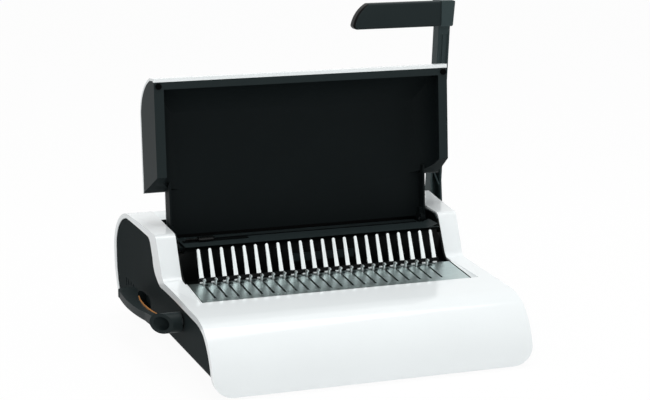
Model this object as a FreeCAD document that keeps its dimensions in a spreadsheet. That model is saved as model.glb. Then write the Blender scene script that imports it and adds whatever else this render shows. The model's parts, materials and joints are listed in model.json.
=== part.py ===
import FreeCAD, Part
import Sketcher
import math
import os
import re

V = FreeCAD.Vector
doc = FreeCAD.newDocument("comb_binding_machine")
sheet = doc.addObject("Spreadsheet::Sheet", "Sizes")

# Plain sizes in millimetres and degrees. Front is -Y, the floor is Z = 0, X = 0 is the middle.
SIZES = {
    # fits and walls
    "wall": 3, "seam": 0.3, "run_gap": 0.05, "touch_gap": 0.5,
    # body outline
    "half_front": 193, "flare": 18, "flare_start": -60, "front_y": -194.8, "rear_y": 194.8,
    "pan_z": 3, "skirt_z": 27, "top_z": 135.5, "top_rise": 4.5, "corner_round": 24,
    "nose_low_y": -163, "nose_low_z": 71, "nose_top_y": -132, "nose_top_z": 79.5,
    "arm_z": 84.5, "arm_back_y": 8, "well_half": 171, "well_front_y": -80.6,
    "panel_seat": 187, "panel_rim": 7,
    # comb row
    "pitch": 14.2875, "tine_count": 22, "slot_count": 21,
    "tine_base_y": -3, "tine_base_z": 83.6, "tine_lean": 23.9, "tine_length": 41,
    "tine_tip_half": 1.8, "tine_base_half": 2.8, "tine_thick": 2,
    "rail_lip": 5.4, "tray_slope": 4.68, "tray_depth": 77.2, "tray_thick": 2, "tray_half": 168,
    "slot_wide": 2.6, "slot_front": -56, "slot_back": -12, "window_wide": 9, "window_deep": 8,
    "hook_wide": 1.9, "hook_tall": 8, "hook_at": -8,
    # black wall and throat
    "deck_z": 123, "deck_front_y": 17, "wall_y": 25, "cheek_half": 170.6,
    "die_front_y": 48, "die_thick": 3, "throat": 6, "die_half": 149, "die_low_z": 64,
    "rear_deck_z": 112, "ledge_back_y": 112,
    # punch drive
    "gear_module": 2, "punch_teeth": 11, "opener_teeth": 13, "backlash": 0.36,
    "punch_axis_y": 172, "punch_axis_z": 78, "shaft_r": 5, "pin_z": 101.5,
    "pin_wide": 8, "pin_tall": 2.9, "pin_tip_y": 58.3, "bar_front_y": 80, "bar_deep": 12,
    "bar_half": 146, "frame_thick": 3, "gear_wide": 9, "punch_gear_x": 128,
    # comb opener
    "opener_axis_y": -66, "opener_axis_z": 57, "opener_shaft_r": 4, "opener_gear_x": 107,
    "hook_plate_half": 153.4, "hook_plate_thick": 2,
    # lid, in its own frame with the hinge axis at the origin
    "hinge_y": 78, "hinge_z": 121, "lid_lean": 4, "hinge_pin_r": 3,
    "lid_half": 195.3, "rim_half": 189, "rim_wide": 12, "lid_neck_half": 168, "lid_top": 198.5,
    "lid_shell_w": 14.6, "lid_rim_w": -33.4, "lid_round": 5, "lid_nose_w": -20, "lid_nose_v": 150,
    "flange_low_rear": 55.2, "flange_low_rim": 79.5, "neck_side": 2.6, "neck_deep": 18,
    "lid_strip": 9, "lid_band": 4.5, "ear_r": 8, "ear_wide": 6,
    # punch handle
    "handle_in_x": 213, "handle_wide": 16, "handle_top_z": 360, "handle_top_y": 150,
    "handle_deep": 18, "handle_hub_r": 19, "grip_left_x": 90, "grip_top_z": 393,
    "grip_front_y": 127, "grip_deep": 15, "block_in_x": 210, "block_out_x": 230,
    # comb lever
    "lever_hub_r": 12, "lever_in_x": 203, "lever_tip_y": 100, "lever_tip_x": 230,
    # chip drawer
    "drawer_half": 100, "drawer_low_z": 30, "drawer_high_z": 62, "drawer_front_y": -10,
    "drawer_wall": 2,
}
# Values worked out from the sizes above, written once and used by every piece that meets there.
DERIVED = {
    "flare_len": "rear_y - flare_start",
    "flare_radius": "(flare_len * flare_len + flare * flare) / (2 * flare)",
    "die_back_y": "die_front_y + die_thick",
    "strip_front_y": "die_back_y + throat",
    "strip_back_y": "strip_front_y + die_thick",
    "bar_back_y": "bar_front_y + bar_deep",
    "frame_out": "die_half + frame_thick",
    "punch_pitch_r": "gear_module * punch_teeth / 2",
    "opener_pitch_r": "gear_module * opener_teeth / 2",
    "lid_in_w": "lid_shell_w - wall",
    "nose_back": "lid_shell_w - lid_nose_w",
    "nose_rise": "lid_top - lid_nose_v",
    "lid_nose_r": "(nose_back * nose_back + nose_rise * nose_rise) / (2 * nose_back)",
    "recess_half": "rim_half - rim_wide",
    "row_left_x": "-pitch * (tine_count - 1) / 2",
    "handle_out_x": "handle_in_x + handle_wide",
    "grip_low_z": "handle_top_z",
}

for row, (alias, value) in enumerate(SIZES.items(), start=1):
    sheet.set(f"A{row}", str(value))
    sheet.setAlias(f"A{row}", alias)
doc.recompute()


def ex(text):
    """Expression for the document from bare size names."""
    def swap(found):
        word = found.group(0)
        if word in DERIVED:
            return "(" + ex(DERIVED[word]) + ")"
        return "Sizes." + word if word in SIZES else word
    return re.sub(r"[A-Za-z_]+", swap, str(text))


def num(text):
    value = sheet.evalExpression(ex(text))
    return float(getattr(value, "Value", value))


PLANES = {
    "YZ": FreeCAD.Rotation(V(1, 1, 1), 120),
    "XZ": FreeCAD.Rotation(V(1, 0, 0), 90),
    "XY": FreeCAD.Rotation(),
}


def draw(sketch, points):
    """Closed outline. A third value is the radius of the arc to the next point, + bulging left."""
    base = sketch.GeometryCount
    count = len(points)
    ends = []
    for i, point in enumerate(points):
        following = points[(i + 1) % count]
        a = V(num(point[0]), num(point[1]), 0)
        b = V(num(following[0]), num(following[1]), 0)
        if len(point) < 3:
            sketch.addGeometry(Part.LineSegment(a, b))
            ends.append((1, 2))
            continue
        radius = num(point[2])
        chord = b - a
        left = V(-chord.y, chord.x, 0).normalize()
        rise = math.sqrt(max(radius * radius - (chord.Length / 2) ** 2, 0))
        centre = (a + b) * 0.5 + left * (rise if radius > 0 else -rise)
        start, stop = (a, b) if radius > 0 else (b, a)
        first = math.atan2(start.y - centre.y, start.x - centre.x)
        last = math.atan2(stop.y - centre.y, stop.x - centre.x)
        circle = Part.Circle(centre, V(0, 0, 1), abs(radius))
        sketch.addGeometry(Part.ArcOfCircle(circle, first, last))
        ends.append((1, 2) if radius > 0 else (2, 1))
    for i in range(count):
        j = (i + 1) % count
        sketch.addConstraint(
            Sketcher.Constraint("Coincident", base + i, ends[i][1], base + j, ends[j][0]))
    for i, point in enumerate(points):
        for kind, text in (("DistanceX", point[0]), ("DistanceY", point[1])):
            rule = Sketcher.Constraint(kind, -1, 1, base + i, ends[i][0], num(text))
            n = sketch.addConstraint(rule)
            sketch.setExpression(f"Constraints[{n}]", ex(text))
        if len(point) > 2:
            n = sketch.addConstraint(Sketcher.Constraint("Radius", base + i, abs(num(point[2]))))
            sketch.setExpression(f"Constraints[{n}]", f"abs({ex(point[2])})")


def outline(name, plane, points):
    sketch = doc.addObject("Sketcher::SketchObject", name + "_outline")
    sketch.Placement = FreeCAD.Placement(V(), PLANES[plane])
    draw(sketch, points)
    return sketch


def raise_from(name, sketch, low, high):
    """Solid from an outline, from low to high along X (YZ), Z (XY) or -Y (XZ)."""
    solid = doc.addObject("Part::Extrusion", name)
    solid.Base = sketch
    solid.DirMode = "Normal"
    solid.Solid = True
    solid.setExpression("LengthFwd", ex(high))
    solid.setExpression("LengthRev", "-(" + ex(low) + ")")
    return solid


def prism(name, plane, points, low, high):
    return raise_from(name, outline(name, plane, points), low, high)


def box(name, x, y, z):
    solid = doc.addObject("Part::Box", name)
    for prop, axis, (low, high) in (("Length", "x", x), ("Width", "y", y), ("Height", "z", z)):
        solid.setExpression(prop, f"({ex(high)}) - ({ex(low)})")
        solid.setExpression("Placement.Base." + axis, ex(low))
    return solid


def bar(name, axis, radius, low, high, across, up):
    """Round bar along X, Y or Z; across and up are its other two places in order."""
    solid = doc.addObject("Part::Cylinder", name)
    turn = {"x": FreeCAD.Rotation(V(0, 1, 0), 90), "y": FreeCAD.Rotation(V(1, 0, 0), -90),
            "z": FreeCAD.Rotation()}[axis]
    solid.Placement = FreeCAD.Placement(V(), turn)
    solid.setExpression("Radius", ex(radius))
    solid.setExpression("Height", f"({ex(high)}) - ({ex(low)})")
    places = {"x": (low, across, up), "y": (across, low, up), "z": (across, up, low)}[axis]
    for letter, text in zip("xyz", places):
        solid.setExpression("Placement.Base." + letter, ex(text))
    return solid


def fuse(name, *solids):
    joined = doc.addObject("Part::MultiFuse", name)
    joined.Shapes = list(solids)
    joined.Refine = True
    return joined


def common(name, *solids):
    kept = doc.addObject("Part::MultiCommon", name)
    kept.Shapes = list(solids)
    return kept


def cut(name, solid, *tools):
    tool = tools[0] if len(tools) == 1 else fuse(name + "_tools", *tools)
    left = doc.addObject("Part::Cut", name)
    left.Base = solid
    left.Tool = tool
    return left


def group(name, *solids):
    kept = doc.addObject("Part::Compound", name)
    kept.Links = list(solids)
    return kept


def soften(name, solid, radius, pick):
    """Round the edges of a solid that pick chooses."""
    doc.recompute()
    rounded = doc.addObject("Part::Fillet", name)
    rounded.Base = solid
    size = num(radius)
    edges = [i for i, edge in enumerate(solid.Shape.Edges, start=1) if pick(edge)]
    rounded.Edges = [(i, size, size) for i in edges]
    return rounded


def lean(solid, angle, y, z):
    """Turn a piece about X, then set its own origin at y, z."""
    solid.Placement = FreeCAD.Placement(V(), FreeCAD.Rotation(V(1, 0, 0), num(angle)))
    solid.setExpression("Placement.Rotation.Angle", ex(angle))
    solid.setExpression("Placement.Base.y", ex(y))
    solid.setExpression("Placement.Base.z", ex(z))
    return solid


def plane_of(body, role):
    return [item for item in body.Origin.OriginFeatures if item.Role == role][0]


def sketch_in(body, name, role, points_list, lift=None):
    sketch = body.newObject("Sketcher::SketchObject", name)
    sketch.AttachmentSupport = [(plane_of(body, role), "")]
    sketch.MapMode = "FlatFace"
    if lift is not None:
        sketch.setExpression("AttachmentOffset.Base.z", ex(lift))
    for points in points_list:
        draw(sketch, points)
    return sketch


def feature(body, kind, name, sketch, length):
    made = body.newObject("PartDesign::" + kind, name)
    made.Profile = sketch
    made.setExpression("Length", ex(length))
    return made


def row_of(body, name, original, count, span):
    pattern = body.newObject("PartDesign::LinearPattern", name)
    pattern.Originals = [original]
    pattern.Direction = (plane_of(body, "X_Axis"), [""])
    pattern.setExpression("Length", ex(span))
    pattern.setExpression("Occurrences", ex(count))
    body.Tip = pattern
    return pattern


def rect(x0, x1, y0, y1):
    return [(x0, y0), (x1, y0), (x1, y1), (x0, y1)]


NODES = {}


def node(name, solid):
    NODES[name] = solid
    return solid


# Body: white cover, side panels, base
PROFILE = [
    ("front_y", "pan_z"), ("front_y + 8.8", "pan_z"), ("front_y + 8.8", "skirt_z"),
    ("rear_y - 13", "skirt_z", "120"), ("rear_y - 0.8", "85", "52"),
    ("rear_y - 47", "top_z + top_rise"),
    ("45", "top_z", "10"), ("36", "top_z - 5.5"), ("16", "arm_z + 7.5", "-12"),
    ("arm_back_y", "arm_z"), ("nose_top_y", "nose_top_z", "90"),
    ("nose_low_y", "nose_low_z", "76"),
]
PLAN = [
    ("-half_front", "front_y - 2"), ("half_front", "front_y - 2"),
    ("half_front", "flare_start", "-flare_radius"), ("half_front + flare", "rear_y"),
    ("-half_front - flare", "rear_y", "-flare_radius"), ("-half_front", "flare_start"),
]
FRONT = [
    ("-half_front + corner_round", "pan_z"),
    ("half_front - corner_round", "pan_z", "corner_round"),
    ("half_front", "pan_z + corner_round"), ("half_front + 25", "pan_z + corner_round"),
    ("half_front + 25", "top_z + 9"), ("-half_front - 25", "top_z + 9"),
    ("-half_front - 25", "pan_z + corner_round"),
    ("-half_front", "pan_z + corner_round", "corner_round"),
]
PANEL = [
    ("-185.5", "skirt_z - 1"), ("rear_y - 19", "skirt_z - 1", "120"), ("rear_y - 8", "85", "44"),
    ("rear_y - 49", "top_z + top_rise - panel_rim + 1"), ("70", "top_z - panel_rim - 0.6", "13"),
    ("59.5", "top_z - panel_rim - 8"), ("52", "105", "-30"),
    ("36", "82", "-30"), ("14", "75.5"), ("-128", "72", "80"), ("-157", "65.5", "70"),
]


def body_block(name, profile_low, profile_high, plan_inset):
    side = prism(name + "_side", "YZ", PROFILE, profile_low, profile_high)
    plan_sketch = outline(name + "_plan", "XY", PLAN)
    if plan_inset:
        shrunk = doc.addObject("Part::Offset2D", name + "_plan_inset")
        shrunk.Source = plan_sketch
        shrunk.setExpression("Value", "-(" + ex(plan_inset) + ")")
        plan_sketch = shrunk
    plan = raise_from(name + "_plan_block", plan_sketch, "-1", "top_z + top_rise + 1")
    front = prism(name + "_front", "XZ", FRONT, "-rear_y - 5", "-front_y + 5")
    return common(name, side, plan, front)


outer = body_block("cover_block", "-half_front - 30", "half_front + 30", None)
hollow_outline = outline("hollow", "YZ", PROFILE)
hollow_inset = doc.addObject("Part::Offset2D", "hollow_inset")
hollow_inset.Source = hollow_outline
hollow_inset.setExpression("Value", "-(" + ex("wall") + ")")
arm_in = "well_half + wall"
arm_out = "panel_seat - wall"
left_hollow = raise_from("left_arm_hollow", hollow_inset, "-(" + arm_out + ")",
                         "-(" + arm_in + ")")
right_hollow = raise_from("right_arm_hollow", hollow_inset, arm_in, arm_out)
nose_hollow = common(
    "nose_hollow", raise_from("nose_hollow_side", hollow_inset, "-well_half", "well_half"),
    box("nose_hollow_box", ("-well_half", "well_half"), ("front_y", "well_front_y - wall"),
        ("0", "top_z")))
arm_floor = [
    box(side + "_arm_floor", (low, high), ("front_y + 12", "rear_y - 20"),
        ("skirt_z - 1", "skirt_z + wall + 1"))
    for side, low, high in (("left", "-(" + arm_out + ")", "-(" + arm_in + ")"),
                            ("right", arm_in, arm_out))]
nose_floor = box("nose_floor", ("-well_half", "well_half"),
                 ("front_y + 12", "well_front_y - wall"), ("skirt_z - 1", "skirt_z + wall + 1"))
well = box("well", ("-well_half", "well_half"), ("well_front_y", "rear_y + 5"),
           ("0", "top_z + 9"))
panel_tools = [
    prism("left_panel_recess", "YZ", PANEL, "-half_front - 30", "-panel_seat"),
    prism("right_panel_recess", "YZ", PANEL, "panel_seat", "half_front + 30")]
punch_hole = bar("punch_shaft_hole", "x", "shaft_r + 2", "well_half - 1", "half_front + 30",
                 "punch_axis_y", "punch_axis_z")
opener_hole = bar("opener_shaft_hole", "x", "opener_shaft_r + 2", "-half_front - 30",
                  "-well_half + 1", "opener_axis_y", "opener_axis_z")
hinge_holes = bar("hinge_pin_holes", "x", "hinge_pin_r + run_gap", "-well_half - wall - 1",
                  "well_half + wall + 1", "hinge_y", "hinge_z")
rack_window = box("rack_window", ("-opener_gear_x - gear_wide - 4", "opener_gear_x + gear_wide + 4"),
                  ("well_front_y - wall - 1", "well_front_y + 1"), ("skirt_z - 1", "75"))
raw_cover = cut("raw_cover", outer, rack_window, left_hollow, right_hollow, nose_hollow, nose_floor, well,
                *arm_floor, *panel_tools, punch_hole, opener_hole, hinge_holes)
node("main_cover", raw_cover)

panel_block = body_block("panel_block", "-half_front - 30", "half_front + 30", "0.6")
panel_outline = outline("panel_fit", "YZ", PANEL)
panel_inset = doc.addObject("Part::Offset2D", "panel_inset")
panel_inset.Source = panel_outline
panel_inset.setExpression("Value", "-(" + ex("seam") + ")")
left_blank = common("left_panel_blank", panel_block, raise_from(
    "left_panel_stock", panel_inset, "-half_front - 30", "-panel_seat"))
right_blank = common("right_panel_blank", panel_block, raise_from(
    "right_panel_stock", panel_inset, "panel_seat", "half_front + 30"))
scoop = prism("finger_scoop", "YZ", [
    ("64", "32"), ("119", "32"), ("119", "37", "20"), ("109", "49.5", "60"), ("80", "51.5", "16"),
    ("64", "46")], "-half_front - 30", "-panel_seat - 2")
grip_slots = [
    box(f"grip_slot_{i}", ("-half_front - 30", "-panel_seat - 6"), (f"{y} - 1.2", f"{y} + 1.2"),
        (low, high))
    for i, (y, low, high) in enumerate((("154.5", "46", "56"), ("146.5", "48.3", "55.4"),
                                        ("138", "49", "54.2"), ("129.5", "49.4", "53.1")))]
node("left_side_panel", cut("left_side_panel", left_blank, opener_hole, scoop, *grip_slots))
node("right_side_panel", cut("right_side_panel", right_blank, punch_hole))

pan_back = "rear_y - 18"
pan_block = prism("pan_block", "XZ", [
    ("-168", "pan_z"), ("168", "pan_z", "26"), ("186", "skirt_z - seam"),
    ("-186", "skirt_z - seam", "26")], "-(" + pan_back + ")", "-front_y - 9.1")
pan_hollow = box("pan_hollow", ("-164", "164"), ("front_y + 13", "rear_y - 22"),
                 ("pan_z + wall", "skirt_z + 1"))
node("base_pan", cut("base_pan", pan_block, pan_hollow))
feet = [
    bar(f"foot_{i}", "z", "10", "0", "pan_z", x, y)
    for i, (x, y) in enumerate((("-145", "-165"), ("145", "-165"), ("-145", "155"),
                                ("145", "155")))]
node("rubber_feet", group("rubber_feet", *feet))
screws = [
    bar(f"screw_{i}", "z", "4", "pan_z - 1.2", "pan_z", x, y)
    for i, (x, y) in enumerate((("-110", "-165"), ("110", "-165"), ("-110", "155"),
                                ("110", "155"), ("-150", "0"), ("150", "0")))]
node("base_screws", group("base_screws", *screws))

# Comb tray, tines and black wall
tray = doc.addObject("PartDesign::Body", "tray_plate")
tray_pad = feature(tray, "Pad", "tray_pad", sketch_in(tray, "tray_sketch", "XY_Plane", [
    rect("-tray_half", "tray_half", "-tray_depth", "-2.2")], "-tray_thick"), "tray_thick")
slot_x = "row_left_x"
slot_points = [
    (slot_x + " - slot_wide / 2", "slot_front"), (slot_x + " + slot_wide / 2", "slot_front"),
    (slot_x + " + slot_wide / 2", "slot_back"),
    (slot_x + " - tine_base_half + window_wide", "slot_back"),
    (slot_x + " - tine_base_half + window_wide", "slot_back + window_deep"),
    (slot_x + " - tine_base_half", "slot_back + window_deep"),
    (slot_x + " - tine_base_half", "slot_back"), (slot_x + " - slot_wide / 2", "slot_back")]
slot_cut = feature(tray, "Pocket", "slot_cut", sketch_in(
    tray, "slot_sketch", "XY_Plane", [slot_points]), "tray_thick + 1")
row_of(tray, "slot_row", slot_cut, "slot_count", "pitch * (slot_count - 1)")
lean(tray, "tray_slope", "tine_base_y", "tine_base_z")
node("tray_plate", tray)

tines = doc.addObject("PartDesign::Body", "tines")
tine_pad = feature(tines, "Pad", "tine_pad", sketch_in(tines, "tine_sketch", "XZ_Plane", [[
    (slot_x + " - tine_base_half", "-9"), (slot_x + " + tine_base_half", "-9"),
    (slot_x + " + tine_base_half", "0"),
    (slot_x + " + tine_tip_half", "tine_length - tine_tip_half", "tine_tip_half * 1.0001"),
    (slot_x + " - tine_tip_half", "tine_length - tine_tip_half"),
    (slot_x + " - tine_base_half", "0")]]), "tine_thick")
tine_pad.Reversed = True
row_of(tines, "tine_row", tine_pad, "tine_count", "pitch * (tine_count - 1)")
lean(tines, "-tine_lean", "tine_base_y", "tine_base_z")
node("tines", tines)
# Black rail behind the fingers, with a lip that closes round their feet
rail = fuse("rail_stock", box("rail_bar", ("-die_half - 6", "die_half + 6"),
                              ("tine_thick", "tine_thick + 2"), ("-9", "rail_lip")),
            box("rail_lip", ("-die_half - 6", "die_half + 6"), ("-1.6", "tine_thick + 2"),
                ("1", "rail_lip")))
node("tine_rail", cut("tine_rail", lean(rail, "-tine_lean", "tine_base_y", "tine_base_z"), tines))

wall_sheet = prism("wall_sheet", "YZ", [
    ("deck_front_y", "deck_z", "-9"), ("wall_y", "deck_z - 9"), ("wall_y", "79"), ("-0.5", "79"),
    ("-1.83", "76"), ("wall_y + wall", "76"),
    ("wall_y + wall", "deck_z - wall"), ("die_back_y - 0.5", "deck_z - wall"),
    ("die_back_y - 0.5", "deck_z")], "-cheek_half", "cheek_half")
cheeks = [
    prism(side + "_cheek", "YZ", [
        ("-4", "arm_z - 12"), ("wall_y", "arm_z - 12"), ("die_back_y - 0.5", "rear_deck_z + seam"),
        ("110", "rear_deck_z + seam"), ("110", "top_z - 1"), ("45", "top_z - 1.5"),
        ("36", "top_z - 7"),
        ("16", "arm_z + 6"), ("8", "arm_z - 1"), ("-4", "arm_z - 1.6")], low, high)
    for side, low, high in (("left", "-cheek_half", "-cheek_half + 2"),
                            ("right", "cheek_half - 2", "cheek_half"))]
ribs = [
    box(f"wall_rib_{i}", (f"row_left_x + pitch * {k} - 0.6", f"row_left_x + pitch * {k} + 0.6"),
        ("wall_y - 2", "wall_y + 0.5"), ("93", "deck_z - 12"))
    for i, k in enumerate(("0.5", "6.5", "13.5", "18.5"))]
pad = box("wall_pad", ("-28", "52"), ("wall_y - 1.2", "wall_y + 0.5"), ("92.5", "103"))
ramp = prism("deck_ramp", "XZ", [
    ("cheek_half - 18", "deck_z - 1"), ("cheek_half - 1", "deck_z - 1"),
    ("cheek_half - 1", "deck_z + 5")], "-die_back_y + 0.5", "-deck_front_y - 5")
wall_stock = fuse("wall_stock", wall_sheet, *cheeks, *ribs, pad, ramp)
cheek_holes = bar("cheek_holes", "x", "hinge_pin_r + run_gap", "-cheek_half - 1", "cheek_half + 1",
                  "hinge_y", "hinge_z")
# Slots at the ends of the deck, for the neck's sides when the lid is shut
neck_slots = [
    box(side + "_neck_slot", span, ("8", "die_back_y + 0.5"), ("deck_z - 9.6", "deck_z + 9"))
    for side, span in (("left", ("-cheek_half + 2", "-lid_neck_half + neck_side + 1.4")),
                       ("right", ("lid_neck_half - neck_side - 1.4", "cheek_half - 2")))]
node("comb_wall", cut("comb_wall", wall_stock, cheek_holes, *neck_slots))

# Punch: frames, dies, carriage and drive
frames = [
    cut(side + "_frame", box(side + "_frame_plate", (low, high), ("die_front_y - 4", "rear_y - 12.5"),
                             ("pan_z + wall", "rear_deck_z - wall - seam")),
        bar(side + "_frame_bore", "x", "shaft_r + 3", low, high, "punch_axis_y", "punch_axis_z"))
    for side, low, high in (("left", "-frame_out", "-die_half"),
                            ("right", "die_half", "frame_out"))]
doc.recompute()
frame_trim = box("frame_trim", ("-frame_out - 1", "frame_out + 1"), ("rear_y - 22", "rear_y"),
                 ("0", "skirt_z + 28"))
node("end_frames", group("end_frames", *[
    cut(side + "_end_frame", plate, frame_trim) for side, plate in zip(("left", "right"), frames)]))
bushes = [
    cut(side + "_bush", bar(side + "_bush_ring", "x", "shaft_r + 3", low, high,
                            "punch_axis_y", "punch_axis_z"),
        bar(side + "_bush_bore", "x", "shaft_r + run_gap", low + " - 1", high + " + 1",
            "punch_axis_y", "punch_axis_z"))
    for side, low, high in (("left", "-frame_out", "-die_half"),
                            ("right", "die_half", "frame_out"))]
node("shaft_bushes", group("shaft_bushes", *bushes))


def pierced(name, front, low_z, high_z):
    plate = doc.addObject("PartDesign::Body", name)
    blank = feature(plate, "Pad", name + "_pad", sketch_in(plate, name + "_sketch", "XZ_Plane", [
        rect("-die_half", "die_half", low_z, high_z)], "-(" + front + ") - die_thick"),
        "die_thick")
    hole_x = "-pitch * (slot_count - 1) / 2"
    hole = feature(plate, "Pocket", name + "_hole", sketch_in(
        plate, name + "_hole_sketch", "XZ_Plane", [
            rect(hole_x + " - pin_wide / 2 - run_gap", hole_x + " + pin_wide / 2 + run_gap",
                 "pin_z - pin_tall / 2 - run_gap", "pin_z + pin_tall / 2 + run_gap")],
        "-(" + front + ")"), "die_thick")
    row_of(plate, name + "_row", hole, "slot_count", "pitch * (slot_count - 1)")
    return node(name, plate)


pierced("die_plate", "die_front_y", "die_low_z", "deck_z - wall - seam")
pierced("stripper_plate", "strip_front_y", "die_low_z", "deck_z - 1")
node("paper_stop", box("paper_stop", ("-die_half", "die_half"), ("die_back_y", "strip_front_y"),
                       ("90", "95")))

pins = doc.addObject("PartDesign::Body", "punch_pins")
pin_x = "-pitch * (slot_count - 1) / 2"
pin_pad = feature(pins, "Pad", "pin_pad", sketch_in(pins, "pin_sketch", "XZ_Plane", [
    rect(pin_x + " - pin_wide / 2", pin_x + " + pin_wide / 2",
         "pin_z - pin_tall / 2", "pin_z + pin_tall / 2")], "-bar_front_y"),
    "bar_front_y - pin_tip_y")
row_of(pins, "pin_row", pin_pad, "slot_count", "pitch * (slot_count - 1)")
node("punch_pins", pins)
node("punch_bar", box("punch_bar", ("-bar_half", "bar_half"), ("bar_front_y", "bar_back_y"),
                      ("pin_z - 12.5", "pin_z + 6")))


def involute(base_r, radius):
    turn = math.acos(base_r / radius)
    return math.tan(turn) - turn


def pinion_shape(teeth, width, bore):
    """Spur pinion round the X axis with a gap at the top; flanks are true involutes."""
    module = num("gear_module")
    pitch_r = module * teeth / 2
    base_r = pitch_r * math.cos(math.radians(20))
    tip_r = pitch_r + 0.9 * module
    root_r = pitch_r - 0.85 * module
    half = math.pi / (2 * teeth) - num("backlash") / 4 / pitch_r + involute(base_r, pitch_r)
    edges = []
    last = None
    first = None
    for k in range(teeth):
        middle = math.pi / 2 + (k + 0.5) * 2 * math.pi / teeth
        flank = []
        for step in range(6):
            radius = base_r + (tip_r - base_r) * (step / 5) ** 1.6
            flank.append((radius, half - involute(base_r, max(radius, base_r))))

        def at(radius, angle):
            return V(0, radius * math.cos(angle), radius * math.sin(angle))
        rise = [at(r, middle - a) for r, a in flank]
        fall = [at(r, middle + a) for r, a in reversed(flank)]
        foot_in = at(root_r, middle - half)
        foot_out = at(root_r, middle + half)
        if last is not None:
            edges.append(Part.makeLine(last, foot_in))
        else:
            first = foot_in
        edges.append(Part.makeLine(foot_in, rise[0]))
        for points in (rise, fall):
            curve = Part.BSplineCurve()
            curve.interpolate(points)
            if points is fall:
                edges.append(Part.makeLine(rise[-1], fall[0]))
            edges.append(curve.toShape())
        edges.append(Part.makeLine(fall[-1], foot_out))
        last = foot_out
    edges.append(Part.makeLine(last, first))
    face = Part.Face(Part.Wire(Part.__sortEdges__(edges)))
    return face.extrude(V(width, 0, 0)).cut(
        Part.makeCylinder(bore, width + 2, V(-1, 0, 0), V(1, 0, 0)))


def rack_shape(width, front_teeth, rear_teeth, front, rear, back):
    """Rack with its pitch line on Z = 0, teeth down, one tooth centred on Y = 0."""
    module = num("gear_module")
    step = math.pi * module
    tip = 0.6 * module
    root = 1.05 * module
    half = step / 4 - num("backlash") / 4
    slope = math.tan(math.radians(20))
    points = [V(0, front, back), V(0, front, root)]
    for k in range(-front_teeth, rear_teeth + 1):
        middle = k * step
        for offset, height in ((-half - root * slope, root), (-half + tip * slope, -tip),
                               (half - tip * slope, -tip), (half + root * slope, root)):
            points.append(V(0, middle + offset, height))
    points += [V(0, rear, root), V(0, rear, back)]
    face = Part.Face(Part.makePolygon(points + [points[0]]))
    return face.extrude(V(width, 0, 0))


def gear_pair(name, shape, gear_x):
    """Two equal gear pieces, one each side, as one node."""
    pieces = doc.addObject("Part::Feature", name)
    width = num("gear_wide")
    copies = []
    for x in (-num(gear_x) - width, num(gear_x)):
        one = shape.copy()
        one.translate(V(x, 0, 0))
        copies.append(one)
    pieces.Shape = Part.makeCompound(copies)
    return node(name, pieces)


def at_axis(piece, angle, y, z, lift=0.0):
    turn = FreeCAD.Rotation(V(1, 0, 0), angle)
    piece.Placement = FreeCAD.Placement(V(0, num(y), num(z)) + turn.multVec(V(0, 0, lift)), turn)


drive = gear_pair("drive_pinions", pinion_shape(
    int(num("punch_teeth")), num("gear_wide"), num("shaft_r")), "punch_gear_x")
at_axis(drive, 0, "punch_axis_y", "punch_axis_z")
racks = gear_pair("drive_racks", rack_shape(
    num("gear_wide"), 1, 2, num("bar_back_y - punch_axis_y"), 15.2, 8), "punch_gear_x")
at_axis(racks, 0, "punch_axis_y", "punch_axis_z", num("punch_pitch_r"))
node("drive_shaft", bar("drive_shaft", "x", "shaft_r", "-frame_out - 1", "handle_out_x - 3",
                        "punch_axis_y", "punch_axis_z"))

# Comb opener: hook plate, hooks, racks, pinions, brackets
hooks = doc.addObject("PartDesign::Body", "comb_hooks")
hook_low = "-tray_thick - touch_gap"
hook_pad = feature(hooks, "Pad", "hook_pad", sketch_in(hooks, "hook_sketch", "YZ_Plane", [[
    ("hook_at - 2", hook_low), ("hook_at + 2", hook_low), ("hook_at + 2", "hook_tall - 3", "3"),
    ("hook_at - 1", "hook_tall"), ("hook_at - 5", "hook_tall"), ("hook_at - 5", "hook_tall - 1.8"),
    ("hook_at - 2", "hook_tall - 2.6")]], "row_left_x - hook_wide / 2"), "hook_wide")
row_of(hooks, "hook_row", hook_pad, "slot_count", "pitch * (slot_count - 1)")
lean(hooks, "tray_slope", "tine_base_y", "tine_base_z")
node("comb_hooks", hooks)
plate_low = "-tray_thick - touch_gap - hook_plate_thick"
plate = box("hook_sheet", ("-hook_plate_half", "hook_plate_half"), ("-42", "hook_at + 3"),
            (plate_low, hook_low))
node("hook_plate", lean(group("hook_plate", plate), "tray_slope", "tine_base_y", "tine_base_z"))
slope = math.radians(num("tray_slope"))
axis_off_y = num("opener_axis_y - tine_base_y")
axis_off_z = num("opener_axis_z - tine_base_z")
axis_height = -axis_off_y * math.sin(slope) + axis_off_z * math.cos(slope)
plate_gap = num(plate_low) - axis_height - num("opener_pitch_r")
opener = gear_pair("opener_pinions", pinion_shape(
    int(num("opener_teeth")), num("gear_wide"), num("opener_shaft_r")), "opener_gear_x")
at_axis(opener, num("tray_slope"), "opener_axis_y", "opener_axis_z")
opener_rack = gear_pair("opener_racks", rack_shape(
    num("gear_wide"), 1, 5, -10.5, 50, plate_gap), "opener_gear_x")
at_axis(opener_rack, num("tray_slope"), "opener_axis_y", "opener_axis_z", num("opener_pitch_r"))
node("opener_shaft", bar("opener_shaft", "x", "opener_shaft_r", "-lever_in_x + 3", "138",
                         "opener_axis_y", "opener_axis_z"))
brackets = [
    cut(side + "_bracket", box(side + "_bracket_plate", (low, high),
                               ("opener_axis_y - 11", "opener_axis_y + 11"),
                               ("pan_z + wall", "opener_axis_z + 9")),
        bar(side + "_bracket_bore", "x", "opener_shaft_r + run_gap", low, high,
            "opener_axis_y", "opener_axis_z"))
    for side, low, high in (("left", "-137", "-133"), ("right", "133", "137"))]
node("opener_brackets", group("opener_brackets", *brackets))
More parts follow.
